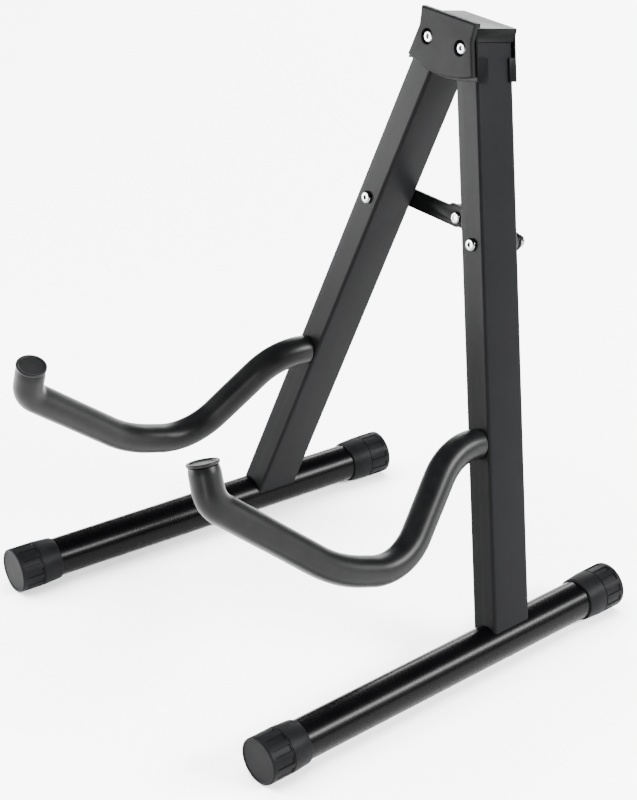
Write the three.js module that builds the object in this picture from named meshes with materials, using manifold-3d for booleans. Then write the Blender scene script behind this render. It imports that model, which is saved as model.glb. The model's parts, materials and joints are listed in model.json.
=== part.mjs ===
// A folding A-frame stand for a guitar: two hinged legs under one head bracket, two padded arms,
// two round foot tubes with rubber caps, and a two-link brace behind the legs.
// Millimetres, +Z up. The guitar side is -Y. The origin is on the floor, under the middle of the stand.
import * as THREE from 'three';
import * as BufferGeometryUtils from 'three/addons/utils/BufferGeometryUtils.js';
import Module from 'manifold-3d';

const wasm = await Module();
wasm.setup();

// ---- driving dimensions -----------------------------------------------------------------------
const GAP = 0.3;                    // between pieces that touch on the real stand
const LEAN = THREE.MathUtils.degToRad(10.9);    // the plane of the legs leans back
const SPREAD = THREE.MathUtils.degToRad(17.2);  // each leg stands out from the middle

const LEG_WIDTH = 19.4;
const LEG_DEPTH = 29.4;
const LEG_WALL = 1.5;
const LEG_CORNER = 2;               // outside corner radius of the leg tube
const PIVOT_HEIGHT = 343.5;         // foot axis to head bolt, measured up the leaning plane
const PIVOT_OUT = 15;               // middle plane to head bolt

const FOOT_RADIUS = 12.5;
const FOOT_WALL = 1.2;
const FOOT_FORWARD = 193;           // from the leg to the tube's front end
const FOOT_BACK = 93;               // from the leg to the tube's rear end
const CAP_WALL = 0.9;               // a cap's wall at its mouth
const CAP_SWELL = 0.9;              // how much thicker the wall is where the cap is widest
const CAP_FLARE = 12;               // from the mouth to there
const CAP_LENGTH = 30;
const CAP_END = 3;                  // thickness of a cap's closed end

const ROD_RADIUS = 4;
const FOAM_RADIUS = 9.5;
const FOAM_SLACK = 0.7;             // between the rod and the foam's bore
const ARM_HEIGHT = 122.2;           // foot axis to the arm's root, along the leg
const ARM_SPLAY = THREE.MathUtils.degToRad(1.7);    // the arms open outwards a little
const ARM_TURN = THREE.MathUtils.degToRad(2.7);     // each leans in above its root by this much
const ARM_LIFT = THREE.MathUtils.degToRad(1.1);     // hand-bent: the right arm sits up, the left down
// The arm's corners, ahead of the leg's front face and above the arm's root, with their bend radii.
const ARM_BENDS = [
  { ahead: 22.7, above: 0, radius: 39 },
  { ahead: 68.2, above: -68.5, radius: 39 },
  { ahead: 118.6, above: -62.3, radius: 91 },
  { ahead: 207.2, above: -12.6, radius: 17 },
];
const ARM_TIP = { ahead: 211, above: 10.8 };
const TIP_FLANGE = 1.8;             // thickness of the cap over the foam's end
const TIP_RIM = 1.9;                // width of the cap's raised rim
const TIP_RECESS = 0.8;
const PLUG_LENGTH = 8;              // the cap's stem, inside the foam

const SHEET = 1.2;                  // head bracket steel
const HEAD_TOP_ABOVE_PIVOT = 14;
const HEAD_BOTTOM_BELOW_PIVOT = 15.5;   // at the ends of the curved lower edge
const HEAD_BOW = 5.5;               // how far the lower edge bows down in the middle
const SKIRT_DROP = 8.3;             // side skirts of the bracket, below its top
const SKIRT_CLEARANCE = 0.4;        // between a leg's top end and the skirt above it
const SKIRT_OUT = 0.5;              // a skirt stands this far outside the leg's top corner
const FLANGE_LENGTH = 14.2;
const FLANGE_BELOW_PIVOT = 6.6;
const FRONT_FLANGE = 8;             // how far a flange reaches along the leg's side
const REAR_FLANGE = 4.5;
const PAD_THICK = 3;
const PAD_RISE = 3;                 // pad above the bracket's top
const PAD_SIDE = 0.5;               // pad beyond the bracket's top corners
const PAD_WAIST = 5.5;              // the pad's narrowest place, above the head bolts
const PAD_INSET = 1.2;              // bracket left bare beside the pad's flared part
const PAD_SHOW = 1.4;               // bracket left bare below the pad's corners
const PAD_BOW = 5.8;
const PAD_HOLE = 5;

const BOLT_RADIUS = 2.5;
const BOLT_CLEARANCE = 0.35;
const BOLT_HEAD_RADIUS = 4;
const BOLT_HEAD = 2.2;
const SOCKET_RADIUS = 1.6;
const SOCKET_DEPTH = 1.1;
const NUT_RADIUS = 4.6;
const NUT_THICK = 4.4;
const BOLT_BEYOND_NUT = 1;

const BRACE_HEIGHT = 232;           // foot axis to the brace bolts, up the leaning plane
const LINK_WIDTH = 12;
const LINK_THICK = 2;
const WASHER_RADIUS = 6;
const WASHER_THICK = 1.7;
const LOBE_RISE = 8;                // a link's raised end, above its rivet
const LOBE_REACH = 9;               // how far the raised part runs back from the rivet
const LOBE_CORNER = 3;
const RIVET_HEAD_RADIUS = 3.7;
const RIVET_HEAD = 1.3;

const ROUND = 16;                   // sides of small round pieces
const TUBE_SIDES = 24;
const ROD_SIDES = 10;
const FOAM_SIDES = 18;
const ARM_STEPS = 56;               // lengths that an arm's curve is built in

// ---- derived places ---------------------------------------------------------------------------
const UP_AXIS = new THREE.Vector3(0, 0, 1);
const legLength = PIVOT_HEIGHT / Math.cos(SPREAD);      // foot axis to head bolt, along the leg
const legFace = LEG_DEPTH / 2;
const footTilt = Math.atan(Math.tan(LEAN) / Math.cos(SPREAD));
const footRoll = Math.asin(Math.sin(SPREAD) * Math.cos(LEAN));
const capMouth = FOOT_RADIUS + GAP + CAP_WALL;          // a cap's radius there
const capRadius = capMouth + CAP_SWELL;                 // also from the floor to the foot tube's axis
const braceDrop = (PIVOT_HEIGHT - BRACE_HEIGHT) / Math.cos(SPREAD);
const braceOut = PIVOT_OUT + braceDrop * Math.sin(SPREAD);
const legEnd = HEAD_TOP_ABOVE_PIVOT - SKIRT_DROP - SKIRT_CLEARANCE;     // above the head bolt
const legTopCorner = PIVOT_OUT + LEG_WIDTH / 2 / Math.cos(SPREAD) - legEnd * Math.tan(SPREAD);
const headHalfWidth = legTopCorner + SKIRT_OUT;
const sheetInner = legFace + GAP;                       // leg's middle to the bracket's inner face
const sheetOuter = sheetInner + SHEET;
const holeRadius = BOLT_RADIUS + BOLT_CLEARANCE;
const foamStart = GAP + FOAM_RADIUS * Math.sin(ARM_SPLAY + ARM_LIFT);   // ahead of the leg's face
const frontLinkFace = legFace + GAP + WASHER_THICK + GAP;
const rearLinkFace = frontLinkFace + LINK_THICK + GAP;

// ---- materials --------------------------------------------------------------------------------
const paint = (color, roughness) => new THREE.MeshStandardMaterial({ color, roughness, metalness: 0.2 });
const legPaint = paint(0x1c1d1e, 0.45);
const footPaint = paint(0x0d0d0e, 0.2);
const bracketPaint = paint(0x2a2b2c, 0.4);
const rubber = new THREE.MeshStandardMaterial({ color: 0x26282a, roughness: 0.8, metalness: 0 });
const foam = new THREE.MeshStandardMaterial({ color: 0x1b1c1e, roughness: 0.95, metalness: 0 });
const plastic = new THREE.MeshStandardMaterial({ color: 0x1e1f21, roughness: 0.6, metalness: 0 });
const zinc = new THREE.MeshStandardMaterial({ color: 0xc9ccd0, roughness: 0.25, metalness: 1 });

// ---- solids -----------------------------------------------------------------------------------
function toSolid(geometry, matrix = new THREE.Matrix4()) {
  const bare = geometry.clone().applyMatrix4(matrix);
  bare.deleteAttribute('normal');
  bare.deleteAttribute('uv');
  const merged = BufferGeometryUtils.mergeVertices(bare, 1e-4);
  const vertProperties = new Float32Array(merged.attributes.position.array);
  const triVerts = new Uint32Array(merged.index.array);
  return new wasm.Manifold(new wasm.Mesh({ numProp: 3, vertProperties, triVerts }));
}

function toGeometry(solid) {
  const mesh = solid.getMesh();
  const geometry = new THREE.BufferGeometry();
  geometry.setAttribute('position', new THREE.BufferAttribute(mesh.vertProperties, 3));
  geometry.setIndex(new THREE.BufferAttribute(mesh.triVerts, 1));
  return geometry;
}

function place(x, y, z, turnY = 0) {
  const turn = new THREE.Quaternion().setFromAxisAngle(new THREE.Vector3(0, 1, 0), turnY);
  return new THREE.Matrix4().compose(new THREE.Vector3(x, y, z), turn, new THREE.Vector3(1, 1, 1));
}

// A box between two corners.
function block(low, high) {
  const size = high.map((value, i) => value - low[i]);
  const middle = high.map((value, i) => (value + low[i]) / 2);
  return new THREE.BoxGeometry(...size).translate(...middle);
}

// A flat plate: an outline drawn in X and Z, from y = start to y = end.
function plate(outline, start, end) {
  const geometry = new THREE.ExtrudeGeometry(outline, { depth: end - start, bevelEnabled: false });
  return geometry.rotateX(Math.PI / 2).translate(0, end, 0);
}

function circle(radius, x = 0, z = 0, sides = ROUND) {
  const points = [];
  for (let i = 0; i < sides; i += 1) {
    const angle = (i / sides) * Math.PI * 2;
    points.push(new THREE.Vector2(x + radius * Math.cos(angle), z + radius * Math.sin(angle)));
  }
  return points;
}

// A turned piece whose axis lies along Y. Each profile point is [radius, y].
function turned(profile, sides = ROUND) {
  const points = profile.map(([radius, y]) => new THREE.Vector2(radius, y));
  return new THREE.LatheGeometry(points, sides);
}

// A ring or tube along Y, open right through.
function sleeve(outer, inner, start, end, sides = ROUND) {
  return turned([[inner, start], [outer, start], [outer, end], [inner, end], [inner, start]], sides);
}

function drill(radius, start, end) {
  return turned([[0, start], [radius, start], [radius, end], [0, end]]);
}

function named(name, geometry, material) {
  const mesh = new THREE.Mesh(geometry, material);
  mesh.name = name;
  return mesh;
}

// ---- fasteners --------------------------------------------------------------------------------
// A button-head bolt along Y. Its head is in front of y = seat and its shank ends at y = end.
function bolt(seat, end) {
  const rim = seat - BOLT_HEAD * 0.45;
  const top = seat - BOLT_HEAD;
  return turned([
    [0, top + SOCKET_DEPTH], [SOCKET_RADIUS, top + SOCKET_DEPTH], [SOCKET_RADIUS, top],
    [BOLT_HEAD_RADIUS * 0.7, top], [BOLT_HEAD_RADIUS, rim], [BOLT_HEAD_RADIUS, seat],
    [BOLT_RADIUS, seat], [BOLT_RADIUS, end], [0, end],
  ]);
}

// A lock nut along Y: a hexagon with a round collar behind it.
function nut(start) {
  const bore = BOLT_RADIUS + GAP;
  const hexEnd = start + NUT_THICK * 0.7;
  const outline = new THREE.Shape(circle(NUT_RADIUS, 0, 0, 6));
  outline.holes.push(new THREE.Path(circle(bore)));
  const collar = sleeve(NUT_RADIUS * 0.8, bore, start + NUT_THICK * 0.4, start + NUT_THICK);
  return toGeometry(toSolid(plate(outline, start, hexEnd)).add(toSolid(collar)));
}

// ---- legs and feet ----------------------------------------------------------------------------
function roundedRectangle(width, depth, radius) {
  const shape = new THREE.Shape();
  const x = width / 2 - radius;
  const y = depth / 2 - radius;
  shape.absarc(x, y, radius, 0, Math.PI / 2);
  shape.absarc(-x, y, radius, Math.PI / 2, Math.PI);
  shape.absarc(-x, -y, radius, Math.PI, Math.PI * 1.5);
  shape.absarc(x, -y, radius, Math.PI * 1.5, Math.PI * 2);
  return shape;
}

// Where a foot tube lies, seen from its leg: level and upright when the stand is open.
function footMatrix(side) {
  const tilt = new THREE.Matrix4().makeRotationX(footTilt);
  const roll = new THREE.Matrix4().makeRotationY(side * footRoll);
  return new THREE.Matrix4().makeTranslation(0, 0, -legLength).multiply(tilt).multiply(roll);
}

function legTube(side) {
  const long = legLength + HEAD_TOP_ABOVE_PIVOT;
  const section = roundedRectangle(LEG_WIDTH, LEG_DEPTH, LEG_CORNER);
  const inner = LEG_CORNER - LEG_WALL / 2;
  section.holes.push(roundedRectangle(LEG_WIDTH - 2 * LEG_WALL, LEG_DEPTH - 2 * LEG_WALL, inner));
  const options = { depth: long, bevelEnabled: false, curveSegments: 3 };
  const tube = new THREE.ExtrudeGeometry(section, options).translate(0, 0, -legLength);
  const reach = LEG_DEPTH;
  const foot = drill(FOOT_RADIUS + GAP, -reach * 2, reach * 2);
  const below = block([-50, -50, -legLength - 60], [50, 50, -legLength]);
  const above = block([-50, -50, legEnd], [50, 50, 60]);
  const rodHole = drill(ROD_RADIUS + GAP, -reach, 0);
  return toGeometry(toSolid(tube)
    .subtract(toSolid(foot, footMatrix(side)))
    .subtract(toSolid(below))
    .subtract(toSolid(above, place(0, 0, 0, side * SPREAD)))
    .subtract(toSolid(drill(holeRadius, -reach, reach)))
    .subtract(toSolid(drill(holeRadius, -reach, reach), place(0, 0, -braceDrop)))
    .subtract(toSolid(rodHole, place(0, 0, ARM_HEIGHT - legLength))));
}

function footTube() {
  const inner = FOOT_RADIUS - FOOT_WALL;
  return sleeve(FOOT_RADIUS, inner, -FOOT_FORWARD, FOOT_BACK, TUBE_SIDES).rotateY(Math.PI / TUBE_SIDES);
}

// A rubber cap over a tube end. It points to +Y and its mouth is at y = 0; a flat side faces down.
function footCap() {
  const toCorner = 1 / Math.cos(Math.PI / TUBE_SIDES);
  const outer = capRadius * toCorner;
  const inner = (FOOT_RADIUS + GAP) * toCorner;
  const bevel = 1;
  const profile = [
    [0, CAP_LENGTH - CAP_END], [inner, CAP_LENGTH - CAP_END], [inner, 0],
    [capMouth * toCorner, 0], [outer, CAP_FLARE],
    [outer, CAP_LENGTH - bevel], [outer - bevel, CAP_LENGTH], [0, CAP_LENGTH],
  ];
  return turned(profile, TUBE_SIDES).rotateY(Math.PI / TUBE_SIDES);
}

// ---- arms -------------------------------------------------------------------------------------
// A bent rod: straight runs joined by arcs, measured along its length.
class BentRod extends THREE.Curve {
  constructor(corners, radii) {
    super();
    this.runs = [];
    let from = corners[0];
    for (let i = 1; i < corners.length - 1; i += 1) {
      const back = corners[i - 1].clone().sub(corners[i]).normalize();
      const on = corners[i + 1].clone().sub(corners[i]).normalize();
      const half = back.angleTo(on) / 2;
      const tangent = radii[i - 1] / Math.tan(half);
      const start = corners[i].clone().addScaledVector(back, tangent);
      const centre = corners[i].clone().addScaledVector(back.clone().add(on).normalize(),
        radii[i - 1] / Math.sin(half));
      const turn = new THREE.Vector3().crossVectors(on, back).normalize();
      this.addLine(from, start);
      this.runs.push({ start, centre, turn, length: radii[i - 1] * (Math.PI - 2 * half),
        angle: Math.PI - 2 * half });
      from = corners[i].clone().addScaledVector(on, tangent);
    }
    this.addLine(from, corners[corners.length - 1]);
    this.total = this.runs.reduce((sum, run) => sum + run.length, 0);
  }

  addLine(start, end) {
    this.runs.push({ start, end, length: start.distanceTo(end) });
  }

  getPoint(t, target = new THREE.Vector3()) {
    let left = t * this.total;
    let index = 0;
    while (index < this.runs.length - 1 && left > this.runs[index].length) {
      left -= this.runs[index].length;
      index += 1;
    }
    const run = this.runs[index];
    const share = Math.min(left / run.length, 1);
    if (run.end) return target.lerpVectors(run.start, run.end, share);
    const spoke = run.start.clone().sub(run.centre).applyAxisAngle(run.turn, run.angle * share);
    return target.copy(run.centre).add(spoke);
  }
}

// The line of an arm. root: where it starts, ahead of the leg's face; cut: what its tip lacks.
function armPath(side, root, cut) {
  const ahead = new THREE.Vector3(0, -1, 0).applyAxisAngle(UP_AXIS, side * ARM_SPLAY);
  const above = UP_AXIS.clone().applyAxisAngle(ahead, side * ARM_TURN);
  const across = new THREE.Vector3().crossVectors(ahead, above);
  ahead.applyAxisAngle(across, side * ARM_LIFT);
  above.applyAxisAngle(across, side * ARM_LIFT);
  const corners = [{ ahead: root, above: 0 }, ...ARM_BENDS, ARM_TIP].map((corner) => (
    new THREE.Vector3(0, -legFace, 0)
      .addScaledVector(ahead, corner.ahead)
      .addScaledVector(above, corner.above)));
  const last = corners.length - 1;
  const upturn = corners[last].clone().sub(corners[last - 1]).normalize();
  corners[last].addScaledVector(upturn, -cut);
  return new BentRod(corners, ARM_BENDS.map((bend) => bend.radius));
}

function alongArm(outline, path) {
  return new THREE.ExtrudeGeometry(outline, { steps: ARM_STEPS, extrudePath: path, bevelEnabled: false });
}

function armRod(side) {
  const root = LEG_WALL + 2 * GAP - LEG_DEPTH;
  const path = armPath(side, root, TIP_FLANGE + PLUG_LENGTH + GAP);
  return alongArm(new THREE.Shape(circle(ROD_RADIUS, 0, 0, ROD_SIDES)), path);
}

function armFoam(side) {
  const bore = (ROD_RADIUS + FOAM_SLACK) / Math.cos(Math.PI / ROD_SIDES);
  const outline = new THREE.Shape(circle(FOAM_RADIUS, 0, 0, FOAM_SIDES));
  outline.holes.push(new THREE.Path(circle(bore, 0, 0, ROD_SIDES)));
  return alongArm(outline, armPath(side, foamStart, TIP_FLANGE + GAP));
}

// ---- head -------------------------------------------------------------------------------------
// The outer line of the bracket beside a leg, at a height above the head bolts.
function besideLeg(height, inset = 0) {
  const reach = LEG_WIDTH / 2 + GAP + SHEET - inset;
  return PIVOT_OUT + reach / Math.cos(SPREAD) - height * Math.tan(SPREAD);
}

// The face of the head, in X and in height above the bolts. From its top it narrows to the waist,
// flares out beside the legs and bows down between them.
function headOutline({ topHalf, top, waistHalf, waist, cornerHalf, corner, bow }) {
  const shape = new THREE.Shape();
  const steps = 12;
  shape.moveTo(-cornerHalf, -corner);
  for (let i = 1; i < steps; i += 1) {
    const across = (i / steps) * 2 - 1;
    shape.lineTo(cornerHalf * across, -corner - bow * (1 - across * across));
  }
  shape.lineTo(cornerHalf, -corner);
  shape.lineTo(waistHalf, waist);
  shape.lineTo(topHalf, top);
  shape.lineTo(-topHalf, top);
  shape.lineTo(-waistHalf, waist);
  return shape;
}

function withBoltHoles(shape, radius) {
  shape.holes.push(new THREE.Path(circle(radius, PIVOT_OUT, 0)));
  shape.holes.push(new THREE.Path(circle(radius, -PIVOT_OUT, 0)));
  return shape;
}

function bracketFace(start, end) {
  const outline = headOutline({
    topHalf: headHalfWidth,
    top: HEAD_TOP_ABOVE_PIVOT,
    waistHalf: headHalfWidth,
    waist: (besideLeg(0) - headHalfWidth) / Math.tan(SPREAD),
    cornerHalf: besideLeg(-HEAD_BOTTOM_BELOW_PIVOT),
    corner: HEAD_BOTTOM_BELOW_PIVOT,
    bow: HEAD_BOW,
  });
  return toSolid(plate(withBoltHoles(outline, holeRadius), start, end));
}

// A flange folded from a sheet round the outer side of a leg. end is -1 at the front, 1 at the rear.
function legFlange(side, end, depth) {
  const near = side * (LEG_WIDTH / 2 + GAP);
  const far = near + side * SHEET;
  const bent = end * sheetOuter;
  const tip = end * (sheetInner - depth);
  const low = -FLANGE_BELOW_PIVOT - FLANGE_LENGTH;
  const flange = block([Math.min(near, far), Math.min(bent, tip), low],
    [Math.max(near, far), Math.max(bent, tip), -FLANGE_BELOW_PIVOT]);
  return toSolid(flange, place(side * PIVOT_OUT, 0, 0, -side * SPREAD));
}

// One folded sheet: front and rear plates, a level top, side skirts and four flanges by the legs.
function headBracket() {
  const top = HEAD_TOP_ABOVE_PIVOT;
  let solid = bracketFace(-sheetOuter, -sheetInner)
    .add(bracketFace(sheetInner, sheetOuter))
    .add(toSolid(block([-headHalfWidth, -sheetOuter, top - SHEET], [headHalfWidth, sheetOuter, top])));
  for (const side of [-1, 1]) {
    const inner = side * (headHalfWidth - SHEET);
    const outer = side * headHalfWidth;
    const skirt = block([Math.min(inner, outer), -sheetOuter, top - SKIRT_DROP],
      [Math.max(inner, outer), sheetOuter, top]);
    solid = solid.add(toSolid(skirt));
    solid = solid.add(legFlange(side, -1, FRONT_FLANGE)).add(legFlange(side, 1, REAR_FLANGE));
  }
  return toGeometry(solid);
}

// The rubber pad on the bracket's face. A lip at its top laps over the bracket's front edge.
function headPad() {
  const back = -sheetOuter - GAP;
  const front = back - PAD_THICK;
  const top = HEAD_TOP_ABOVE_PIVOT + PAD_RISE;
  const corner = HEAD_BOTTOM_BELOW_PIVOT - PAD_SHOW;
  const halfWidth = headHalfWidth + PAD_SIDE;
  const outline = headOutline({
    topHalf: halfWidth,
    top,
    waistHalf: besideLeg(PAD_WAIST, PAD_INSET),
    waist: PAD_WAIST,
    cornerHalf: besideLeg(-corner, PAD_INSET),
    corner,
    bow: PAD_BOW,
  });
  const lip = block([-halfWidth, front, HEAD_TOP_ABOVE_PIVOT + GAP], [halfWidth, -sheetInner, top]);
  return toGeometry(toSolid(plate(withBoltHoles(outline, PAD_HOLE), front, back)).add(toSolid(lip)));
}

// ---- brace ------------------------------------------------------------------------------------
// A flat link in X and Z with round ends: its leg bolt is at x = 0 and its rivet at x = length, under
// a raised lobe. start: its front face.
function link(length, start) {
  const half = LINK_WIDTH / 2;
  const shape = new THREE.Shape();
  shape.absarc(0, 0, half, Math.PI / 2, Math.PI * 1.5, false);
  shape.lineTo(length, -half);
  shape.absarc(length, 0, half, -Math.PI / 2, 0, false);
  shape.lineTo(length + half, LOBE_RISE - LOBE_CORNER);
  shape.lineTo(length + half - LOBE_CORNER, LOBE_RISE);
  shape.lineTo(length - LOBE_REACH + LOBE_CORNER, LOBE_RISE);
  shape.lineTo(length - LOBE_REACH, half);
  shape.holes.push(new THREE.Path(circle(holeRadius)));
  shape.holes.push(new THREE.Path(circle(holeRadius, length)));
  return plate(shape, start, start + LINK_THICK);
}

// Half of the middle rivet: a head and the part of its shank that lies in one link. head: where the
// head's flat side lies, against a link; tail: where the shank ends. The head points to -Y.
function rivetHalf(head, tail) {
  const crown = head - RIVET_HEAD;
  const rim = head - RIVET_HEAD / 2;
  return turned([
    [0, crown], [RIVET_HEAD_RADIUS * 0.7, crown], [RIVET_HEAD_RADIUS, rim], [RIVET_HEAD_RADIUS, head],
    [BOLT_RADIUS, head], [BOLT_RADIUS, tail], [0, tail],
  ]);
}

// ---- assembly ---------------------------------------------------------------------------------
// Everything on one leg, from the head bolt down. Across the leg is X, towards the outside of the stand.
function legGroup(word, side) {
  const leg = new THREE.Group();
  leg.position.set(side * PIVOT_OUT, 0, 0);
  leg.rotation.y = -side * SPREAD;
  leg.add(named(`${word}_leg_tube`, legTube(side), legPaint));

  const foot = new THREE.Group();
  foot.applyMatrix4(footMatrix(side));
  foot.add(named(`${word}_foot_tube`, footTube(), footPaint));
  const seat = CAP_LENGTH - CAP_END - GAP;
  const front = named(`${word}_front_cap`, footCap(), rubber);
  front.position.y = -FOOT_FORWARD + seat;
  front.rotation.z = Math.PI;
  const rear = named(`${word}_rear_cap`, footCap(), rubber);
  rear.position.y = FOOT_BACK - seat;
  foot.add(front, rear);

  const arm = new THREE.Group();
  arm.position.z = ARM_HEIGHT - legLength;
  arm.add(named(`${word}_arm_rod`, armRod(side), bracketPaint));
  arm.add(named(`${word}_arm_foam`, armFoam(side), foam));
  arm.add(endPlug(word, side));

  const brace = new THREE.Group();
  brace.position.z = -braceDrop;
  const linkFace = side < 0 ? frontLinkFace : rearLinkFace;
  const nutFace = linkFace + LINK_THICK + GAP;
  const boltEnd = nutFace + NUT_THICK + BOLT_BEYOND_NUT;
  const washer = sleeve(WASHER_RADIUS, holeRadius, legFace + GAP, linkFace - GAP);
  brace.add(named(`${word}_brace_bolt`, bolt(-legFace - GAP, boltEnd), zinc));
  brace.add(named(`${word}_brace_washer`, washer, plastic));
  brace.add(named(`${word}_brace_nut`, nut(nutFace), zinc));

  leg.add(foot, arm, brace);
  return leg;
}

// The cap on an arm's end: a flange with a raised rim over the foam, and a stem inside it.
function endPlug(word, side) {
  const path = armPath(side, foamStart, 0);
  const away = path.getTangent(1);
  const dish = FOAM_RADIUS - TIP_RIM;
  const profile = [
    [0, -TIP_FLANGE - PLUG_LENGTH], [ROD_RADIUS, -TIP_FLANGE - PLUG_LENGTH], [ROD_RADIUS, -TIP_FLANGE],
    [FOAM_RADIUS, -TIP_FLANGE], [FOAM_RADIUS, 0], [dish, 0], [dish, -TIP_RECESS], [0, -TIP_RECESS],
  ];
  const plug = named(`${word}_arm_plug`, turned(profile, FOAM_SIDES), plastic);
  plug.quaternion.setFromUnitVectors(new THREE.Vector3(0, 1, 0), away);
  plug.position.copy(path.getPoint(1));
  return plug;
}

function headGroup() {
  const head = new THREE.Group();
  head.add(named('head_bracket', headBracket(), bracketPaint));
  head.add(named('head_pad', headPad(), rubber));
  const nutFace = sheetOuter + GAP;
  const end = nutFace + NUT_THICK + BOLT_BEYOND_NUT;
  for (const [word, side] of [['left', -1], ['right', 1]]) {
    const pin = named(`${word}_head_bolt`, bolt(-sheetOuter - GAP, end), zinc);
    const lock = named(`${word}_head_nut`, nut(nutFace), zinc);
    pin.position.x = side * PIVOT_OUT;
    lock.position.x = side * PIVOT_OUT;
    head.add(pin, lock);
  }
  return head;
}

// Two links that meet at the middle rivet, behind the legs. The rivet is in two halves, one a link.
function braceGroup() {
  const brace = new THREE.Group();
  brace.position.z = BRACE_HEIGHT - PIVOT_HEIGHT;
  const left = new THREE.Group();
  left.position.x = -braceOut;
  const frontEnd = frontLinkFace + LINK_THICK;
  const rivet = named('brace_rivet', rivetHalf(frontLinkFace - GAP, frontEnd - GAP / 2), zinc);
  rivet.position.x = braceOut;
  left.add(named('left_brace_link', link(braceOut, frontLinkFace), bracketPaint), rivet);

  const right = new THREE.Group();
  right.position.x = braceOut;
  right.scale.x = -1;
  const tail = rivetHalf(-rearLinkFace - LINK_THICK - GAP, -rearLinkFace - GAP / 2);
  const rivetTail = named('brace_rivet_tail', tail.rotateX(Math.PI), zinc);
  rivetTail.position.x = braceOut;
  right.add(named('right_brace_link', link(braceOut, rearLinkFace), bracketPaint), rivetTail);
  brace.add(left, right);
  return brace;
}

const frame = new THREE.Group();        // the leaning plane of the legs, from the head bolts down
frame.add(headGroup(), legGroup('left', -1), legGroup('right', 1), braceGroup());
frame.position.set(0, PIVOT_HEIGHT * Math.sin(LEAN), capRadius + PIVOT_HEIGHT * Math.cos(LEAN));
frame.rotation.x = -LEAN;

const stand = new THREE.Group();
stand.add(frame);
const reach = new THREE.Box3().setFromObject(stand, true);
stand.position.y = -(reach.min.y + reach.max.y) / 2;

export default stand;
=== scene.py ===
# %% [markdown]
# # A folding guitar stand
#
# The stand is an A-frame: two rectangular legs hang from one folded head bracket, each leg is welded
# onto a round foot tube, a bent arm in a foam sleeve grows out of each leg, and a two-link brace holds
# the legs apart behind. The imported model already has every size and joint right, so this lesson builds
# the finished surfaces round it: rounded edges, moulded caps, soft foam and painted steel.

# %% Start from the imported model
import json
import math

import bmesh
import bpy
from mathutils import Matrix, Vector


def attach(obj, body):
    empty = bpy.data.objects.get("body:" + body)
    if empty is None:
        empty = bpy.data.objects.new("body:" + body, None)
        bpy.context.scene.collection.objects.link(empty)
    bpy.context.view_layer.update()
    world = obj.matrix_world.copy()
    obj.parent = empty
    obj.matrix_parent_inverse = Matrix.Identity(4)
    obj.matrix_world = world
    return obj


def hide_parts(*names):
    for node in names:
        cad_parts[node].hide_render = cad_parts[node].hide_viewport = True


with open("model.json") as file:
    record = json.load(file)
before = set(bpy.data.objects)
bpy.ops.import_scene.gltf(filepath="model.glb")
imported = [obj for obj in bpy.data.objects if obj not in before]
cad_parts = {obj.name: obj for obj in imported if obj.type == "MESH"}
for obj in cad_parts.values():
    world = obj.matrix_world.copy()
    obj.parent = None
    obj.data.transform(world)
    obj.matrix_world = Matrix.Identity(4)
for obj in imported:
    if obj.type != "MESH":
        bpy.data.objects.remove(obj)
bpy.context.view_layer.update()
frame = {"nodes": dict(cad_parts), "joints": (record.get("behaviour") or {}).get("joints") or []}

# %% [markdown]
# ## Where the pieces live
#
# The head bolts lie on one line, and the whole plane of the legs leans back about it. If each piece is
# modelled upright at the origin, in its own simple directions, it can be set down in the stand with one
# matrix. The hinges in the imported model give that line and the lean, so nothing is measured twice.

# %% The places of the head, the legs and the feet
MM = 0.001
joints = {joint["name"]: joint for joint in frame["joints"]}
left_hinge = Vector(joints["left_leg_hinge"]["pos_m"])
right_hinge = Vector(joints["right_leg_hinge"]["pos_m"])
LEAN = math.asin(-joints["right_leg_hinge"]["axis"][2])
SPREAD = math.radians(joints["left_leg_hinge"]["range_deg"][1])
PIVOT_OUT = (right_hinge - left_hinge).length / 2
PIVOT_HEIGHT = 343.5 * MM
LEG_LENGTH = PIVOT_HEIGHT / math.cos(SPREAD)

HEAD = Matrix.Translation((left_hinge + right_hinge) / 2) @ Matrix.Rotation(-LEAN, 4, "X")


def leg_place(side):
    """The leg's own frame: Z up along the leg from the head bolt, Y back, X across."""
    hinge = Matrix.Translation((side * PIVOT_OUT, 0, 0))
    return HEAD @ hinge @ Matrix.Rotation(-side * SPREAD, 4, "Y")


def foot_turn(side):
    """From the leg's frame to the foot tube's, which is level and upright on the floor."""
    tilt = math.atan(math.tan(LEAN) / math.cos(SPREAD))
    roll = math.asin(math.sin(SPREAD) * math.cos(LEAN))
    down = Matrix.Translation((0, 0, -LEG_LENGTH))
    return down @ Matrix.Rotation(tilt, 4, "X") @ Matrix.Rotation(side * roll, 4, "Y")


SIDES = {"left": -1, "right": 1}
print("lean", round(math.degrees(LEAN), 2), "spread", round(math.degrees(SPREAD), 2))

# %% [markdown]
# ## Working with operators
#
# Every operator acts on what is selected, so each step first says what that is. These helpers open a
# piece for editing, pick its faces or edges by where they are, apply a modifier, and set a finished
# piece down in its place with its object back at the origin.

# %% Helpers for selecting, editing and finishing
PICK_MODES = {"verts": "VERT", "edges": "EDGE", "faces": "FACE"}


def activate(piece):
    if bpy.context.view_layer.objects.active and bpy.context.mode != "OBJECT":
        bpy.ops.object.mode_set(mode="OBJECT")
    bpy.ops.object.select_all(action="DESELECT")
    piece.select_set(True)
    bpy.context.view_layer.objects.active = piece


def named(name):
    """The piece that an operator has just added, with its name and its size applied."""
    piece = bpy.context.view_layer.objects.active
    piece.name = name
    piece.data.name = name
    activate(piece)
    bpy.ops.object.transform_apply(location=True, rotation=True, scale=True)
    return piece


def edit(piece):
    activate(piece)
    bpy.ops.object.mode_set(mode="EDIT")


def leave():
    bpy.ops.object.mode_set(mode="OBJECT")


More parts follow.
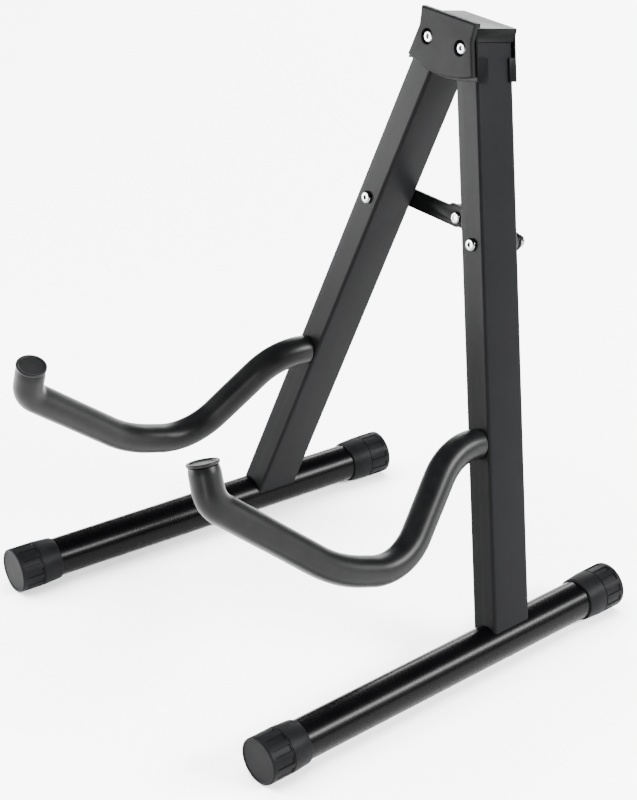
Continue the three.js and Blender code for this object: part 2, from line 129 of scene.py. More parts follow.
def pick(kind, test):
    """Selects the faces, edges or corners of the open piece that pass a test."""
    bpy.ops.mesh.select_mode(type=PICK_MODES[kind])
    bpy.ops.mesh.select_all(action="DESELECT")
    data = bpy.context.edit_object.data
    mesh = bmesh.from_edit_mesh(data)
    found = [item for item in getattr(mesh, kind) if test(item)]
    for item in found:
        item.select_set(True)
    bmesh.update_edit_mesh(data)
    return len(found)


def middle(edge):
    return (edge.verts[0].co + edge.verts[1].co) / 2


def modify(piece, kind, **settings):
    activate(piece)
    bpy.ops.object.modifier_add(type=kind)
    modifier = piece.modifiers[-1]
    for key, value in settings.items():
        setattr(modifier, key, value)
    bpy.ops.object.modifier_apply(modifier=modifier.name)


def cut(piece, cutter, how="DIFFERENCE"):
    """Takes a cutter away from a piece, or adds it, and removes the cutter."""
    modify(piece, "BOOLEAN", operation=how, object=cutter, solver="EXACT")
    bpy.data.objects.remove(cutter)


def set_down(piece, place):
    activate(piece)
    piece.matrix_world = place @ piece.matrix_world
    bpy.ops.object.transform_apply(location=True, rotation=True, scale=True)
    return piece


def twin(piece, name):
    """A copy with its own mesh."""
    activate(piece)
    bpy.ops.object.duplicate()
    copy = bpy.context.view_layer.objects.active
    copy.name = name
    copy.data.name = name
    return copy


def smooth(piece, degrees=32):
    activate(piece)
    bpy.ops.object.shade_smooth_by_angle(angle=math.radians(degrees))


def round_rod(name, radius, start, end, sides=64, axis="Z"):
    """A plain cylinder along an axis, as a cutter or as the start of a piece."""
    turn = {"Z": (0, 0, 0), "Y": (-math.pi / 2, 0, 0)}[axis]
    centre = {"Z": (0, 0, (start + end) / 2), "Y": (0, (start + end) / 2, 0)}[axis]
    bpy.ops.mesh.primitive_cylinder_add(
        vertices=sides, radius=radius, depth=end - start, location=centre, rotation=turn)
    return named(name)


def finished(piece, body, slot, *nodes):
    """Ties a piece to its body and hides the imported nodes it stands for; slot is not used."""
    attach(piece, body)
    if nodes:
        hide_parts(*nodes)
    print(piece.name, len(piece.data.polygons), "faces")


# %% [markdown]
# ## Materials
#
# All the finishes are black or dark, so what tells them apart is how they scatter light. Powder coat is
# satin with a fine orange-peel, and its corners are painted paler: a painted edge highlight that also
# stands for rubbed wear. The foot tubes are glossier, rubber and foam are matt with a grain, and the zinc
# bolts are bright. Each recipe mixes a broad cloudy noise into the colour, and one fine noise into both
# the roughness and the bump, all in the object's own coordinates, so the pattern stays put from every
# side.
# Noise could also be painted on as an image, but then it would stretch over the bends.

# %% One recipe for every finish
def finish_material(name, dark, light, rough, grain, bump, metallic=0.0, cloud=30.0,
                    edge_highlight_and_wear=None, mirror=0.3):
    """dark and light: the two colours the cloud mixes; rough: lowest and highest roughness;
    grain: noise scale of the bump; bump: its height in metres; edge_highlight_and_wear: a paler colour for
    corners, a painted edge highlight that also stands for rubbed wear; mirror: how much the surface
    reflects head on."""
    material = bpy.data.materials.new(name)
    material.use_nodes = True
    nodes, links = material.node_tree.nodes, material.node_tree.links
    shader = nodes["Principled BSDF"]
    shader.inputs["Metallic"].default_value = metallic
    shader.inputs["Specular IOR Level"].default_value = mirror
    place = nodes.new("ShaderNodeTexCoord")

    def noise(size, detail):
        node = nodes.new("ShaderNodeTexNoise")
        node.inputs["Scale"].default_value = size
        node.inputs["Detail"].default_value = detail
        links.new(place.outputs["Object"], node.inputs["Vector"])
        return node

    clouds = noise(cloud, 3)
    fine = noise(grain, 2)
    colour = nodes.new("ShaderNodeValToRGB")
    colour.color_ramp.elements[0].position = 0.35
    colour.color_ramp.elements[0].color = (*dark, 1)
    colour.color_ramp.elements[1].position = 0.68
    colour.color_ramp.elements[1].color = (*light, 1)
    links.new(clouds.outputs["Fac"], colour.inputs["Fac"])
    shown = colour.outputs["Color"]
    # Painted edge highlight: where the mesh is pointed, at its corners, the colour is mixed towards a
    # paler one, which also stands for rubbed wear.
    if edge_highlight_and_wear:
        corners = nodes.new("ShaderNodeNewGeometry")
        along = nodes.new("ShaderNodeMapRange")
        along.inputs["From Min"].default_value = 0.53
        along.inputs["From Max"].default_value = 0.72
        along.inputs["To Max"].default_value = 0.6
        links.new(corners.outputs["Pointiness"], along.inputs["Value"])
        highlight_and_wear_mix = nodes.new("ShaderNodeMix")
        highlight_and_wear_mix.data_type = "RGBA"
        highlight_and_wear_mix.inputs[7].default_value = (*edge_highlight_and_wear, 1)
        links.new(along.outputs["Result"], highlight_and_wear_mix.inputs[0])
        links.new(shown, highlight_and_wear_mix.inputs[6])
        shown = highlight_and_wear_mix.outputs[2]
    links.new(shown, shader.inputs["Base Color"])
    shine = nodes.new("ShaderNodeMapRange")
    shine.inputs["From Min"].default_value = 0.3
    shine.inputs["From Max"].default_value = 0.7
    shine.inputs["To Min"].default_value = rough[0]
    shine.inputs["To Max"].default_value = rough[1]
    links.new(fine.outputs["Fac"], shine.inputs["Value"])
    links.new(shine.outputs["Result"], shader.inputs["Roughness"])
    relief = nodes.new("ShaderNodeBump")
    relief.inputs["Strength"].default_value = 0.6
    relief.inputs["Distance"].default_value = bump
    links.new(fine.outputs["Fac"], relief.inputs["Height"])
    links.new(relief.outputs["Normal"], shader.inputs["Normal"])
    return material


# The legs and the bracket get the paler corner colour: a painted edge highlight that also stands for
# rubbed wear.
leg_paint = finish_material(
    "satin_black_powder_coat", (0.0008, 0.0009, 0.0009), (0.0015, 0.0016, 0.0017), (0.30, 0.38),
    grain=1400, bump=0.00002, edge_highlight_and_wear=(0.012, 0.012, 0.013), mirror=0.02)
foot_paint = finish_material(
    "gloss_black_tube_paint", (0.0004, 0.0004, 0.0005), (0.0008, 0.0008, 0.0009), (0.25, 0.30),
    grain=1100, bump=0.000002, mirror=0.045)
bracket_paint = finish_material(
    "black_painted_sheet", (0.0014, 0.0015, 0.0016), (0.0024, 0.0025, 0.0026), (0.28, 0.36),
    grain=1300, bump=0.00002, edge_highlight_and_wear=(0.012, 0.012, 0.013), mirror=0.02)
pad_rubber = finish_material(
    "dark_pad_rubber", (0.0034, 0.0035, 0.0037), (0.0050, 0.0051, 0.0053), (0.44, 0.56),
    grain=2200, bump=0.00003, cloud=60, mirror=0.03)
cap_rubber = finish_material(
    "foot_cap_rubber", (0.0020, 0.0021, 0.0023), (0.0034, 0.0035, 0.0038), (0.40, 0.54),
    grain=1800, bump=0.00004, cloud=70, mirror=0.03)
foam = finish_material(
    "black_sleeve_foam", (0.0011, 0.0012, 0.0013), (0.0022, 0.0023, 0.0024), (0.34, 0.42),
    grain=2600, bump=0.00003, cloud=90, mirror=0.085)
plastic = finish_material(
    "black_moulded_plastic", (0.0034, 0.0035, 0.0037), (0.0055, 0.0056, 0.0058), (0.36, 0.48),
    grain=1600, bump=0.00003, mirror=0.10)
zinc = finish_material(
    "bright_zinc_plate", (0.11, 0.113, 0.118), (0.18, 0.183, 0.188), (0.18, 0.30),
    grain=1200, bump=0.00002, metallic=1.0, cloud=200)
print(len(bpy.data.materials), "materials")


def coat(piece, material):
    piece.data.materials.clear()
    piece.data.materials.append(material)


# %% [markdown]
# ## Legs
#
# A leg is a rectangular steel tube with rounded corners. A cube gives the right start: its two ends come
# off, its four long edges are rounded, a level cut finishes the top, and Solidify gives it the wall. An
# extruded outline would do as well, but the cube needs no drawing. The foot of the leg is cut to sit on
# the round foot tube, and the bolt holes and the arm's hole are drilled.

# %% Leg tubes
LEG_WIDTH = 19.4 * MM
LEG_DEPTH = 29.4 * MM
LEG_WALL = 1.5 * MM
LEG_CORNER = 2 * MM
LEG_END = 5.3 * MM
FOOT_RADIUS = 12.5 * MM
ARM_HEIGHT = 122.2 * MM
BRACE_DROP = 111.5 * MM / math.cos(SPREAD)
BOLT_HOLE = 2.9 * MM
ROD_HOLE = 4.3 * MM
GAP = 0.3 * MM
COPE_GAP = 0.1 * MM
SPARE = 20 * MM
DRILL_REACH = 20 * MM
BLOCK = 100 * MM


def leg_tube(word, side):
    bpy.ops.mesh.primitive_cube_add(size=1, location=(0, 0, (SPARE - LEG_LENGTH) / 2),
                                    scale=(LEG_WIDTH, LEG_DEPTH, LEG_LENGTH + SPARE))
    leg = named(word + "_leg")
    edit(leg)
    pick("faces", lambda face: abs(face.normal.z) > 0.9)
    bpy.ops.mesh.delete(type="ONLY_FACE")
    pick("edges", lambda edge: abs(edge.verts[0].co.z - edge.verts[1].co.z) > LEG_WIDTH)
    bpy.ops.mesh.bevel(offset=LEG_CORNER, segments=8, affect="EDGES")
    level = Matrix.Rotation(side * SPREAD, 3, "Y") @ Vector((0, 0, 1))
    bpy.ops.mesh.select_all(action="SELECT")
    bpy.ops.mesh.bisect(plane_co=(0, 0, LEG_END / level.z), plane_no=level, clear_outer=True)
    leave()
    modify(leg, "SOLIDIFY", thickness=LEG_WALL, offset=-1, use_even_offset=True)
    foot = round_rod("foot_cutter", FOOT_RADIUS + COPE_GAP, -2 * LEG_DEPTH, 2 * LEG_DEPTH, 96, "Y")
    set_down(foot, foot_turn(side))
    cut(leg, foot)
    bpy.ops.mesh.primitive_cube_add(size=BLOCK, location=(0, 0, -LEG_LENGTH - BLOCK / 2))
    cut(leg, named("below_cutter"))
    for height, reach, radius in ((0, DRILL_REACH, BOLT_HOLE), (-BRACE_DROP, DRILL_REACH, BOLT_HOLE),
                                  (ARM_HEIGHT - LEG_LENGTH, 0, ROD_HOLE)):
        drill = round_rod("drill", radius, -DRILL_REACH, reach, 48, "Y")
        cut(leg, set_down(drill, Matrix.Translation((0, 0, height))))
    smooth(leg)
    set_down(leg, leg_place(side))
    coat(leg, leg_paint)
    finished(leg, word + "_leg", "leg_paint", word + "_leg_tube")


for word, side in SIDES.items():
    leg_tube(word, side)

# %% [markdown]
# ## Foot tubes
#
# Each foot is a plain round tube that its caps hold level, just off the floor, so a fine open cylinder
# with a wall is all it needs. A curve with a round section would give the same tube, but a cylinder is
# exact and already a mesh.

# %% Foot tubes
FOOT_FORWARD = 193 * MM
FOOT_BACK = 93 * MM
FOOT_WALL = 1.2 * MM


def foot_tube(word, side):
    bpy.ops.mesh.primitive_cylinder_add(
        vertices=96, radius=FOOT_RADIUS, depth=FOOT_FORWARD + FOOT_BACK, end_fill_type="NOTHING",
        location=(0, (FOOT_BACK - FOOT_FORWARD) / 2, 0), rotation=(math.pi / 2, 0, 0))
    tube = named(word + "_foot")
    modify(tube, "SOLIDIFY", thickness=FOOT_WALL, offset=-1)
    smooth(tube)
    set_down(tube, leg_place(side) @ foot_turn(side))
    coat(tube, foot_paint)
    finished(tube, word + "_leg", "foot_paint", word + "_foot_tube")


for word, side in SIDES.items():
    foot_tube(word, side)

# %% [markdown]
# ## Rubber foot caps
#
# A cap is a moulded rubber cup: a smooth band that widens from its mouth, a groove, sunk panels round its
# closed half for grip, and a flat end with a rounded rim. It starts as a solid cylinder. Insetting and
# pushing in the mouth makes the cup, cuts round the wall mark off the groove and the panels, and each
# group of faces between the ribs is inset and sunk. A turned outline would give the cup too, but not the
# panels. One cap is modelled and copied to all four ends.

# %% One cap, pointing up from its mouth
CAP_RADIUS = 14.6 * MM
CAP_MOUTH = 13.7 * MM
CAP_LENGTH = 30 * MM
CAP_END = 3 * MM
CAP_FLARE = 12 * MM
CAP_SIDES = 120
CAP_SLACK = 0.15 * MM
GROOVE = 14.2 * MM
HALF_GROOVE = 0.35 * MM
PANELS = 12
PANEL_SHARE = 0.6
PANEL_LOW = 15 * MM
PANEL_HIGH = 27 * MM
PANEL_DEPTH = 0.7 * MM
GROOVE_DEPTH = 0.4 * MM
RIM_ROUND = 0.9 * MM


def model_cap():
    bpy.ops.mesh.primitive_cylinder_add(vertices=CAP_SIDES, radius=CAP_RADIUS, depth=CAP_LENGTH,
                                        location=(0, 0, CAP_LENGTH / 2))
    cap = named("cap_model")
    edit(cap)
    pick("faces", lambda face: face.normal.z < -0.9)
    bpy.ops.mesh.inset(thickness=CAP_RADIUS - FOOT_RADIUS - CAP_SLACK)
    bpy.ops.mesh.extrude_region_move(
        TRANSFORM_OT_translate={"value": (0, 0, CAP_LENGTH - CAP_END)})

    def wall(face, low=0, high=CAP_LENGTH):
        centre = face.calc_center_median()
        return centre.xy.length > CAP_RADIUS - 0.5 * MM and abs(face.normal.z) < 0.5 and (
            low < centre.z < high)

    for height in (CAP_FLARE, GROOVE - HALF_GROOVE, GROOVE + HALF_GROOVE, PANEL_LOW, PANEL_HIGH):
        pick("faces", wall)
        bpy.ops.mesh.bisect(plane_co=(0, 0, height), plane_no=(0, 0, 1))
    each = CAP_SIDES // PANELS

    def in_panel(face):
        centre = face.calc_center_median()
        turn = math.atan2(centre.y, centre.x) / math.tau * CAP_SIDES
        return wall(face, PANEL_LOW, PANEL_HIGH) and int(turn + CAP_SIDES) % each < each * PANEL_SHARE

    count = pick("faces", in_panel)
    bpy.ops.mesh.inset(thickness=0.3 * MM, depth=-PANEL_DEPTH, use_even_offset=True)
    pick("faces", lambda face: wall(face, GROOVE - HALF_GROOVE, GROOVE + HALF_GROOVE))
    bpy.ops.mesh.inset(thickness=0.1 * MM, depth=-GROOVE_DEPTH)
    pick("verts", lambda vert: vert.co.z < 0.1 * MM and vert.co.xy.length > CAP_RADIUS - 0.1 * MM)
    narrow = CAP_MOUTH / CAP_RADIUS
    bpy.ops.transform.resize(value=(narrow, narrow, 1), center_override=(0, 0, 0))
    pick("faces", lambda face: face.normal.z > 0.9 and face.calc_center_median().z > 29 * MM)
    bpy.ops.mesh.inset(thickness=1.5 * MM)
    bpy.ops.mesh.inset(thickness=0.35 * MM, depth=-0.35 * MM)

    def rim(edge):
        ends = [vert.co for vert in edge.verts]
        outer = all(co.xy.length > CAP_MOUTH - 0.1 * MM for co in ends)
        level = abs(ends[0].z - ends[1].z) < 0.01 * MM
        at_end = all(co.z > CAP_LENGTH - 0.1 * MM or co.z < 0.1 * MM for co in ends)
        return outer and level and at_end

    pick("edges", rim)
    bpy.ops.mesh.bevel(offset=RIM_ROUND, segments=5, affect="EDGES")
    leave()
    smooth(cap, 28)
    print("cap:", count, "faces sunk in", PANELS, "panels")
    return cap


cap_model = model_cap()

# %% Four caps on the tube ends
SEAT = CAP_LENGTH - CAP_END - GAP


def foot_caps(word, side):
    for where, mouth, turn in (("front", SEAT - FOOT_FORWARD, 90), ("rear", FOOT_BACK - SEAT, -90)):
        cap = twin(cap_model, f"{word}_{where}_rubber_cap")
        end = Matrix.Translation((0, mouth, 0)) @ Matrix.Rotation(math.radians(turn), 4, "X")
        set_down(cap, leg_place(side) @ foot_turn(side) @ end)
        coat(cap, cap_rubber)
        finished(cap, word + "_leg", "cap_rubber", f"{word}_{where}_cap")


for word, side in SIDES.items():
    foot_caps(word, side)
bpy.data.objects.remove(cap_model)

# %% [markdown]
# ## Foam sleeves
#
# Each arm is a bent rod in a foam sleeve. The rod's line is straight runs joined by arcs, so the same
# line is worked out here as points, given to a curve with a round section, and made a mesh. Extruding a
# circle bend by bend would drift off the line. A sleeve is never quite even: its thickness wanders a
# little along the arm, and it is pinched in under the tip cap.

# %% The line of an arm
ARM_SPLAY = math.radians(1.7)
ARM_TURN = math.radians(2.7)
ARM_LIFT = math.radians(1.1)
ARM_BENDS = ((22.7, 0, 39), (68.2, -68.5, 39), (118.6, -62.3, 91), (207.2, -12.6, 17))
ARM_TIP = (211, 10.8)
FOAM_RADIUS = 9.5 * MM
FOAM_START = GAP + FOAM_RADIUS * math.sin(ARM_SPLAY + ARM_LIFT)
FOAM_WALL = 4.6 * MM
TIP_FLANGE = 1.8 * MM
TIP_GAP = 0.2 * MM


def arm_line(side, step=1.5 * MM):
    """Points along the middle of an arm's rod, from the leg's face to its tip, in the leg's frame."""
    ahead = Matrix.Rotation(side * ARM_SPLAY, 3, "Z") @ Vector((0, -1, 0))
    above = Matrix.Rotation(side * ARM_TURN, 3, ahead) @ Vector((0, 0, 1))
    lift = Matrix.Rotation(side * ARM_LIFT, 3, ahead.cross(above))
    ahead, above = lift @ ahead, lift @ above
    root = Vector((0, -LEG_DEPTH / 2, ARM_HEIGHT - LEG_LENGTH))

    def spot(forward, up):
        return root + ahead * forward + above * up

    corners = [spot(FOAM_START, 0)] + [spot(a * MM, b * MM) for a, b, _ in ARM_BENDS]
    corners.append(spot(ARM_TIP[0] * MM, ARM_TIP[1] * MM))
    points = [corners[0]]
    for i, (_, _, radius) in enumerate(ARM_BENDS, start=1):
        back = (corners[i - 1] - corners[i]).normalized()
        on = (corners[i + 1] - corners[i]).normalized()
        half = back.angle(on) / 2
        start = corners[i] + back * (radius * MM / math.tan(half))
        centre = corners[i] + (back + on).normalized() * (radius * MM / math.sin(half))
        angle = math.pi - 2 * half
        run = (start - points[-1]).length
        count = max(1, round(run / step))
        points += [points[-1].lerp(start, k / count) for k in range(1, count + 1)]
        pieces = max(2, round(radius * MM * angle / step))
        axis = on.cross(back)
        first = start - centre
        for k in range(1, pieces + 1):
            points.append(centre + Matrix.Rotation(angle * k / pieces, 3, axis) @ first)
    count = max(1, round((corners[-1] - points[-1]).length / step))
    last = points[-1]
    points += [last.lerp(corners[-1], k / count) for k in range(1, count + 1)]
    return points


# %% Sleeves as fine tubes
def foam_sleeve(word, side):
    line = arm_line(side)
    away = (line[-1] - line[-2]).normalized()
    end = line[-1] - away * (TIP_FLANGE + TIP_GAP)
    line = [p for p in line if (p - end).dot(away) < -0.3 * MM or (p - end).length > 18 * MM] + [end]
    bpy.ops.curve.primitive_bezier_curve_add()
    sleeve = bpy.context.view_layer.objects.active
    sleeve.data.splines.clear()
    spline = sleeve.data.splines.new("POLY")
    spline.points.add(len(line) - 1)
    walked = 0
    for i, point in enumerate(line):
        walked += (point - line[i - 1]).length if i else 0
        spline.points[i].co = (*point, 1)
        left = (point - line[-1]).length
        swell = 0.994 + 0.006 * math.sin(walked * 61) + 0.004 * math.sin(walked * 149 + side)
        neck = 1 - 0.07 * math.exp(-(left / (2.2 * MM)) ** 2)
        spline.points[i].radius = swell * neck
    sleeve.data.dimensions = "3D"
    sleeve.data.bevel_depth = FOAM_RADIUS
    sleeve.data.bevel_resolution = 12
    sleeve.data.use_fill_caps = False
    activate(sleeve)
    bpy.ops.object.convert(target="MESH")
    sleeve = named(word + "_foam_sleeve")
    edit(sleeve)
    bpy.ops.mesh.select_all(action="SELECT")
    bpy.ops.mesh.remove_doubles(threshold=0.00001)
    bpy.ops.mesh.normals_make_consistent(inside=False)
    leave()
    modify(sleeve, "SOLIDIFY", thickness=FOAM_WALL, offset=-1, use_even_offset=True)
    modify(sleeve, "BEVEL", width=0.6 * MM, segments=3, limit_method="ANGLE",
           angle_limit=math.radians(60))
    smooth(sleeve, 40)
    set_down(sleeve, leg_place(side))
    coat(sleeve, foam)
    finished(sleeve, word + "_leg", "sleeve_foam", word + "_arm_foam")


for word, side in SIDES.items():
    foam_sleeve(word, side)

# %% [markdown]
# ## Tip caps
#
# Each sleeve ends in a moulded cap: a thin round flange over the foam, with a raised rim, and a stem that
# plugs the bore. A cylinder, two insets and a push inwards give the dish, and bevels soften the rim. A
# spun outline would be as good, but this way shows each part of the cap as one step.

# %% One tip cap, then one on each arm
TIP_RADIUS = FOAM_RADIUS + 0.1 * MM
TIP_RIM = 1.7 * MM
TIP_DISH = 0.8 * MM
STEM_RADIUS = 4.1 * MM
STEM_LENGTH = 7.5 * MM


def model_tip():
    tip = round_rod("tip_model", TIP_RADIUS, -TIP_FLANGE, 0, 72)
    edit(tip)
    pick("faces", lambda face: face.normal.z > 0.9)
    bpy.ops.mesh.inset(thickness=TIP_RIM)
    bpy.ops.mesh.inset(thickness=0.3 * MM, depth=-TIP_DISH)
    pick("faces", lambda face: face.normal.z < -0.9)
    bpy.ops.mesh.inset(thickness=TIP_RADIUS - STEM_RADIUS)
    bpy.ops.mesh.extrude_region_move(TRANSFORM_OT_translate={"value": (0, 0, -STEM_LENGTH)})

    def rim(edge):
        ends = [vert.co for vert in edge.verts]
        round_it = abs(ends[0].xy.length - ends[1].xy.length) < 0.05 * MM
        return round_it and ends[0].xy.length > 7.6 * MM and abs(ends[0].z - ends[1].z) < 0.01 * MM

    pick("edges", rim)
    bpy.ops.mesh.bevel(offset=0.55 * MM, segments=4, affect="EDGES")
    leave()
    smooth(tip, 30)
    return tip


tip_model = model_tip()
for word, side in SIDES.items():
    line = arm_line(side)
    away = (line[-1] - line[-2]).normalized()
    turn = Vector((0, 0, 1)).rotation_difference(away).to_matrix().to_4x4()
    tip = twin(tip_model, word + "_tip_cap")
    set_down(tip, leg_place(side) @ Matrix.Translation(line[-1]) @ turn)
    coat(tip, plastic)
    finished(tip, word + "_leg", "plug_plastic", word + "_arm_plug")
bpy.data.objects.remove(tip_model)

# %% [markdown]
# ## Head bracket and pad
#
# The bracket is one sheet folded into a box without a floor, and the pad is moulded rubber. Their outlines
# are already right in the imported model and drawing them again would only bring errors. So a copy of each
# is merged into one clean mesh, its flat faces are joined up again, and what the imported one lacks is
# added: rounded folds on the bracket, a soft front rim and smooth bolt holes on the pad.

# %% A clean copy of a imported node
def clean_copy(node, name):
    source = frame["nodes"][node]
    piece = bpy.data.objects.new(name, source.data.copy())
    bpy.context.scene.collection.objects.link(piece)
    piece.data.name = name
    for key in list(piece.keys()):
        del piece[key]
    activate(piece)
    piece.data.materials.clear()
    edit(piece)
    bpy.ops.mesh.select_all(action="SELECT")
    bpy.ops.mesh.remove_doubles(threshold=0.000005)
    bpy.ops.mesh.customdata_custom_splitnormals_clear()
    bpy.ops.mesh.dissolve_limited(angle_limit=math.radians(2))
    leave()
    piece.data.transform(HEAD.inverted())
    return piece


# %% Head bracket
def head_bracket():
    bracket = clean_copy("head_bracket", "bracket_sheet")
    modify(bracket, "BEVEL", width=0.9 * MM, segments=4, limit_method="ANGLE",
           angle_limit=math.radians(50), use_clamp_overlap=True)
    smooth(bracket, 35)
    set_down(bracket, HEAD)
    coat(bracket, bracket_paint)
    finished(bracket, "head", "bracket_paint", "head_bracket")


head_bracket()

# %% Head pad
PAD_FRONT = -19.5 * MM
PAD_ROUND = 1.5 * MM
PAD_HOLE = 5.05 * MM


def head_pad():
    pad = clean_copy("head_pad", "neck_pad")
    edit(pad)

    def front_rim(edge):
        spot = middle(edge)
        beside = min((spot - Vector((x, spot.y, 0))).length for x in (-PIVOT_OUT, PIVOT_OUT))
        return beside > 6 * MM and edge.is_manifold and all(
            vert.co.y < PAD_FRONT + 0.05 * MM for vert in edge.verts) and (
            edge.calc_face_angle() > math.radians(40))

    print("pad:", pick("edges", front_rim), "rim edges")
    bpy.ops.mesh.bevel(offset=PAD_ROUND, segments=6, affect="EDGES", clamp_overlap=False)
    leave()
    for side in SIDES.values():
        drill = round_rod("drill", PAD_HOLE, 1.5 * PAD_FRONT, 0, 64, "Y")
        cut(pad, set_down(drill, Matrix.Translation((side * PIVOT_OUT, 0, 0))))
    smooth(pad, 35)
    set_down(pad, HEAD)
    coat(pad, pad_rubber)
    finished(pad, "head", "pad_rubber", "head_pad")


head_pad()

# %% [markdown]
# ## Bolts, nuts and washers
#
# The four bolts have low domed heads with a hex socket. A short cylinder with a wide bevel makes the
# dome, a six-sided cutter the socket, and the underside is inset and pulled out to make the shank. The
# thread is hidden, so it isn't cut. A nut is a six-sided cylinder joined to a round collar, with a bore.

# %% One bolt head and shank, one nut
BOLT_HEAD_RADIUS = 4 * MM
BOLT_HEAD = 2.2 * MM
BOLT_DOME = 1.3 * MM
BOLT_RADIUS = 2.5 * MM
BOLT_POINT = 0.4 * MM
SOCKET_RADIUS = 1.75 * MM
NUT_RADIUS = 4.6 * MM
NUT_THICK = 4.4 * MM
NUT_HEX = 3.1 * MM
COLLAR_RADIUS = 3.7 * MM
NUT_BORE = 2.75 * MM


def bolt_model(length):
    """A bolt along +Y from its seat at y = 0; the head is on the -Y side."""
    bolt = round_rod("bolt_model", BOLT_HEAD_RADIUS, -BOLT_HEAD, 0, 48, "Y")
    edit(bolt)
    pick("edges", lambda edge: all(vert.co.y < 0.1 * MM - BOLT_HEAD for vert in edge.verts))
    bpy.ops.mesh.bevel(offset=BOLT_DOME, segments=6, affect="EDGES")
    pick("faces", lambda face: face.normal.y > 0.9)
    bpy.ops.mesh.inset(thickness=BOLT_HEAD_RADIUS - BOLT_RADIUS)
    for reach in (length - BOLT_POINT, BOLT_POINT):
        bpy.ops.mesh.extrude_region_move(TRANSFORM_OT_translate={"value": (0, reach, 0)})
    bpy.ops.transform.resize(value=(0.86, 1, 0.86))
    leave()
    cut(bolt, round_rod("socket", SOCKET_RADIUS, -3 * MM, -1.0 * MM, 6, "Y"))
    smooth(bolt, 30)
    return bolt


def nut_model():
    """A lock nut from y = 0: a hexagon with a round collar behind it."""
    nut = round_rod("nut_model", NUT_RADIUS, 0, NUT_HEX, 6, "Y")
    modify(nut, "BEVEL", width=0.25 * MM, segments=2)
    cut(nut, round_rod("collar", COLLAR_RADIUS, NUT_HEX / 2, NUT_THICK, 40, "Y"), "UNION")
    cut(nut, round_rod("bore", NUT_BORE, -1 * MM, 6 * MM, 32, "Y"))
    set_down(nut, Matrix.Rotation(math.radians(30), 4, "Y"))
    smooth(nut, 30)
    return nut


# Distances behind the middle of a leg: the bracket's outer face, and each link's front face.
SHEET_FACE = LEG_DEPTH / 2 + GAP + 1.2 * MM
LINK_FACE = {"left": LEG_DEPTH / 2 + 2 * GAP + 1.7 * MM, "right": LEG_DEPTH / 2 + 3 * GAP + 3.7 * MM}
LINK_THICK = 2 * MM
BOLT_SPARE = 1 * MM


def fasten(word, what, place, body, seat, nut_face):
    bolt = bolt_model(nut_face + NUT_THICK + BOLT_SPARE - seat)
    bolt.name = f"{word}_{what}_screw"
    set_down(bolt, place @ Matrix.Translation((0, seat, 0)))
    nut = nut_model()
    nut.name = f"{word}_{what}_lock_nut"
    set_down(nut, place @ Matrix.Translation((0, nut_face, 0)))
    for piece, kind in ((bolt, "bolt"), (nut, "nut")):
        coat(piece, zinc)
        finished(piece, body, "zinc_steel", f"{word}_{what}_{kind}")


for word, side in SIDES.items():
    spot = HEAD @ Matrix.Translation((side * PIVOT_OUT, 0, 0))
    fasten(word, "head", spot, "head", -SHEET_FACE - GAP, SHEET_FACE + GAP)
    spot = leg_place(side) @ Matrix.Translation((0, 0, -BRACE_DROP))
    fasten(word, "brace", spot, word + "_leg", -LEG_DEPTH / 2 - 0.05 * MM,
           LINK_FACE[word] + LINK_THICK + GAP)

# %% Washers
WASHER_RADIUS = 6 * MM
WASHER_BORE = 2.85 * MM


def washer(word, side):
    start = LEG_DEPTH / 2 + GAP
    ring = round_rod(word + "_spacer", WASHER_RADIUS, start, LINK_FACE[word] - GAP, 48, "Y")
    cut(ring, round_rod("bore", WASHER_BORE, 0, LEG_DEPTH, 32, "Y"))
    modify(ring, "BEVEL", width=0.3 * MM, segments=3, limit_method="ANGLE")
    smooth(ring)
    set_down(ring, leg_place(side) @ Matrix.Translation((0, 0, -BRACE_DROP)))
    coat(ring, plastic)
    finished(ring, word + "_leg", "washer_plastic", word + "_brace_washer")


for word, side in SIDES.items():
    washer(word, side)

# %% [markdown]
# ## Brace
#
# Two flat steel links overlap at the middle rivet. Stamped links have slightly rolled edges, so a clean
# copy of each gets a small round all along its outline. The rivet is a dome with a dimple in it, and comes
# in two halves, because each half moves with its own link.

# %% Links and rivet
for word in SIDES:
    link = clean_copy(word + "_brace_link", word + "_link_plate")
    modify(link, "BEVEL", width=0.35 * MM, segments=3, limit_method="ANGLE",
           angle_limit=math.radians(60))
    smooth(link, 35)
    set_down(link, HEAD)
    coat(link, bracket_paint)
    finished(link, word + "_link", "brace_paint", word + "_brace_link")


RIVET_RADIUS = 3.7 * MM
RIVET_HEAD = 1.3 * MM
RIVET_SHANK = 2.5 * MM


def rivet_half(name, body, node, face, end, turn):
    """face: where the head sits; end: how far the shank reaches; turn: 1 for the front half."""
    rivet = round_rod(name, RIVET_RADIUS, -RIVET_HEAD, 0, 48, "Y")
    edit(rivet)
    pick("edges", lambda edge: all(vert.co.y < 0.1 * MM - RIVET_HEAD for vert in edge.verts))
    bpy.ops.mesh.bevel(offset=0.9 * MM, segments=5, affect="EDGES")
    pick("faces", lambda face: face.normal.y < -0.999)
    bpy.ops.mesh.inset(thickness=0.9 * MM)
    bpy.ops.mesh.inset(thickness=0.3 * MM, depth=-0.6 * MM)
    pick("faces", lambda face: face.normal.y > 0.9)
    bpy.ops.mesh.inset(thickness=RIVET_RADIUS - RIVET_SHANK)
    bpy.ops.mesh.extrude_region_move(TRANSFORM_OT_translate={"value": (0, end, 0)})
    leave()
    smooth(rivet, 30)
    down = Matrix.Translation((0, face, -BRACE_DROP * math.cos(SPREAD)))
    flip = Matrix.Rotation(0 if turn > 0 else math.pi, 4, "Z")
    set_down(rivet, HEAD @ down @ flip)
    coat(rivet, zinc)
    finished(rivet, body, "zinc_steel", node)


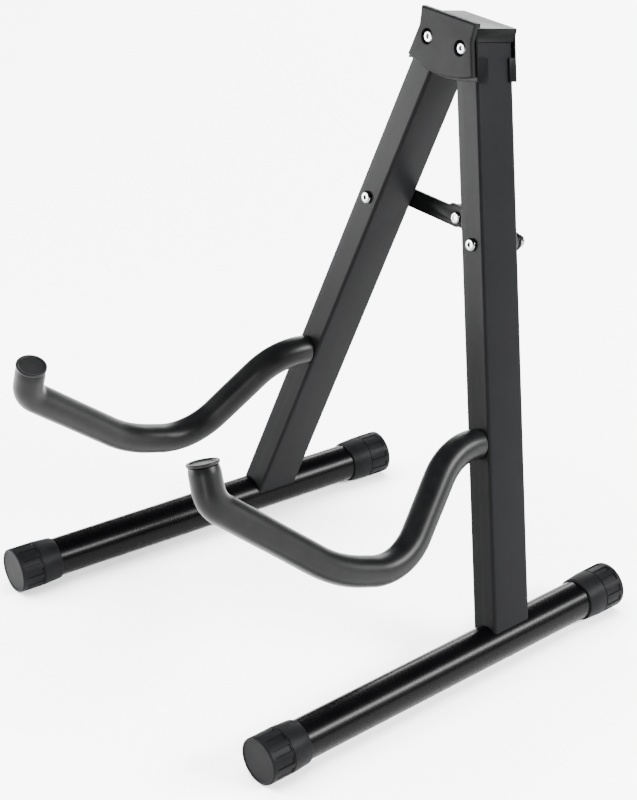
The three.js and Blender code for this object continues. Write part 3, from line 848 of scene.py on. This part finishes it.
reach = GAP + LINK_THICK
rivet_half("middle_rivet", "left_link", "brace_rivet", LINK_FACE["left"] - GAP, reach, 1)
rivet_half("middle_rivet_tail", "right_link", "brace_rivet_tail",
           LINK_FACE["right"] + LINK_THICK + GAP, reach, -1)

# %% [markdown]
# ## The rods inside the foam
#
# The bent rods are hidden in their sleeves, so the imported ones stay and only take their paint.

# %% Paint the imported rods
for word in SIDES:
    rod = frame["nodes"][word + "_arm_rod"]
    coat(rod, leg_paint)

# %% [markdown]
# ## Studio
#
# The stand is on a plain pale floor. A soft ceiling lights the floor and leaves no shine. The shine comes
# from four panels: one high on the right behind for the long line on each tube, one low on the left for
# the front faces, a small one in front for the near corners, and one behind on the left for the bracket's
# top. One big dome of light would be simpler, but black paint under it looks grey.

# %% Floor, lights and camera
bpy.ops.object.select_all(action="DESELECT")
bpy.ops.mesh.primitive_plane_add(size=14, location=(0, 2, 0))
floor = named("floor")
floor_paint = bpy.data.materials.new("pale_floor")
floor_paint.use_nodes = True
floor_shader = floor_paint.node_tree.nodes["Principled BSDF"]
floor_shader.inputs["Base Color"].default_value = (0.93, 0.93, 0.93, 1)
floor_shader.inputs["Roughness"].default_value = 0.9
coat(floor, floor_paint)

world = bpy.data.worlds.new("studio")
world.use_nodes = True
world.node_tree.nodes["Background"].inputs["Color"].default_value = (1, 1, 1, 1)
world.node_tree.nodes["Background"].inputs["Strength"].default_value = 0.1
bpy.context.scene.world = world

bpy.ops.object.light_add(type="SUN", location=(-1, 0, 3))
ceiling = bpy.context.view_layer.objects.active
ceiling.name = "ceiling"
ceiling.data.energy = 20
ceiling.data.angle = math.radians(75)
ceiling.rotation_euler = (math.radians(8), math.radians(-14), 0)
ceiling.visible_glossy = False


def soft_panel(name, place, aim, width, height, watts):
    bpy.ops.object.light_add(type="AREA", location=place)
    light = bpy.context.view_layer.objects.active
    light.name = name
    light.data.shape = "RECTANGLE"
    light.data.size = width
    light.data.size_y = height
    light.data.energy = watts
    light.rotation_euler = (Vector(aim) - Vector(place)).to_track_quat("-Z", "Y").to_euler()


soft_panel("right_back", (2.0, 1.45, 1.45), (0, 0, 0.05), 1.6, 0.4, 380)
soft_panel("front_left", (-1.0, -0.95, 0.22), (0, 0, 0.22), 0.9, 0.35, 60)
soft_panel("front_right", (1.2, -1.5, 0.3), (0, 0, 0.2), 0.25, 0.5, 25)
soft_panel("back_left", (-1.5, 1.7, 0.9), (0, 0.1, 0.3), 1.2, 0.5, 48)

# The camera looks down on the right front of the stand; its place is measured from the head bolts.
CAMERA_PLACE = (left_hinge + right_hinge) / 2 + Vector((0.9714, -0.8738, 0.4105))
AZIMUTH = math.radians(51.954)
ELEVATION = math.radians(26.571)
LENS = 100.645
SENSOR = 36
view = Vector((-math.sin(AZIMUTH) * math.cos(ELEVATION), math.cos(AZIMUTH) * math.cos(ELEVATION),
               -math.sin(ELEVATION)))
bpy.ops.object.camera_add(location=CAMERA_PLACE)
camera = bpy.context.view_layer.objects.active
camera.rotation_euler = view.to_track_quat("-Z", "Y").to_euler()
camera.data.sensor_width = SENSOR
camera.data.lens = LENS
camera.data.clip_start = 0.05
camera.data.clip_end = 30
bpy.context.scene.camera = camera
print("camera at", [round(value, 4) for value in camera.location])
